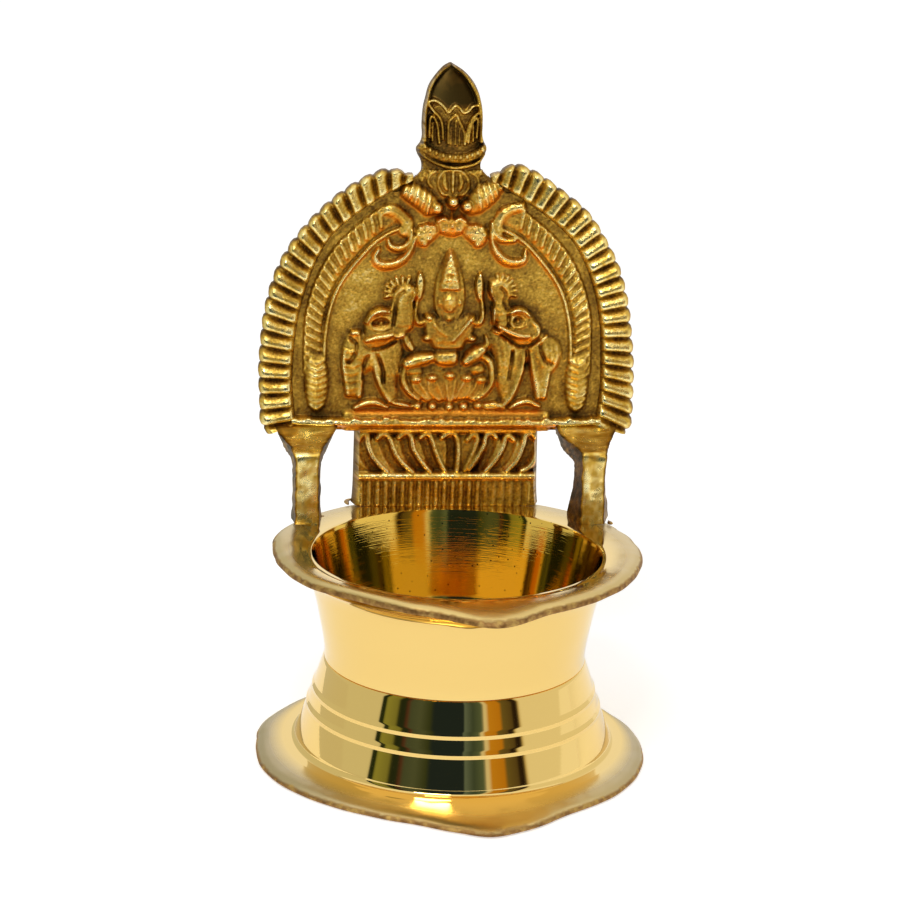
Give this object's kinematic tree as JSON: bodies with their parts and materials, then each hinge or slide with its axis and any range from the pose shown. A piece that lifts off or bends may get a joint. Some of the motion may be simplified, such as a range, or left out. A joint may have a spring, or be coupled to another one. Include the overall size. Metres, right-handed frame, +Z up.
{
  "type": "brass diya",
  "caption": "Small brass oil lamp: turned cup with leaf-shaped rim on a conical foot, with a cast arched back plate in relief and a bud finial.",
  "frame": {"origin": "on the ground, under the middle of the whole lamp's outline", "axes": "+Z up along the lamp's height, -Y towards the front where the leaf tips point, +X to the viewer's right"},
  "size_m": [0.0668, 0.075, 0.1127],
  "materials": {
    "polished_brass": "turned and mirror polished",
    "cast_brass": "sand cast, rubbed bright on the high places and darker in the hollows",
    "solder": "as brazed, dull"
  },
  "bodies": {
    "root": {"foot": "polished_brass", "oil_cup": "polished_brass", "waist_solder": "solder", "back_plate": "cast_brass", "pedestal_solder": "solder", "left_leg_solder": "solder", "right_leg_solder": "solder"}
  },
  "joints": []
}
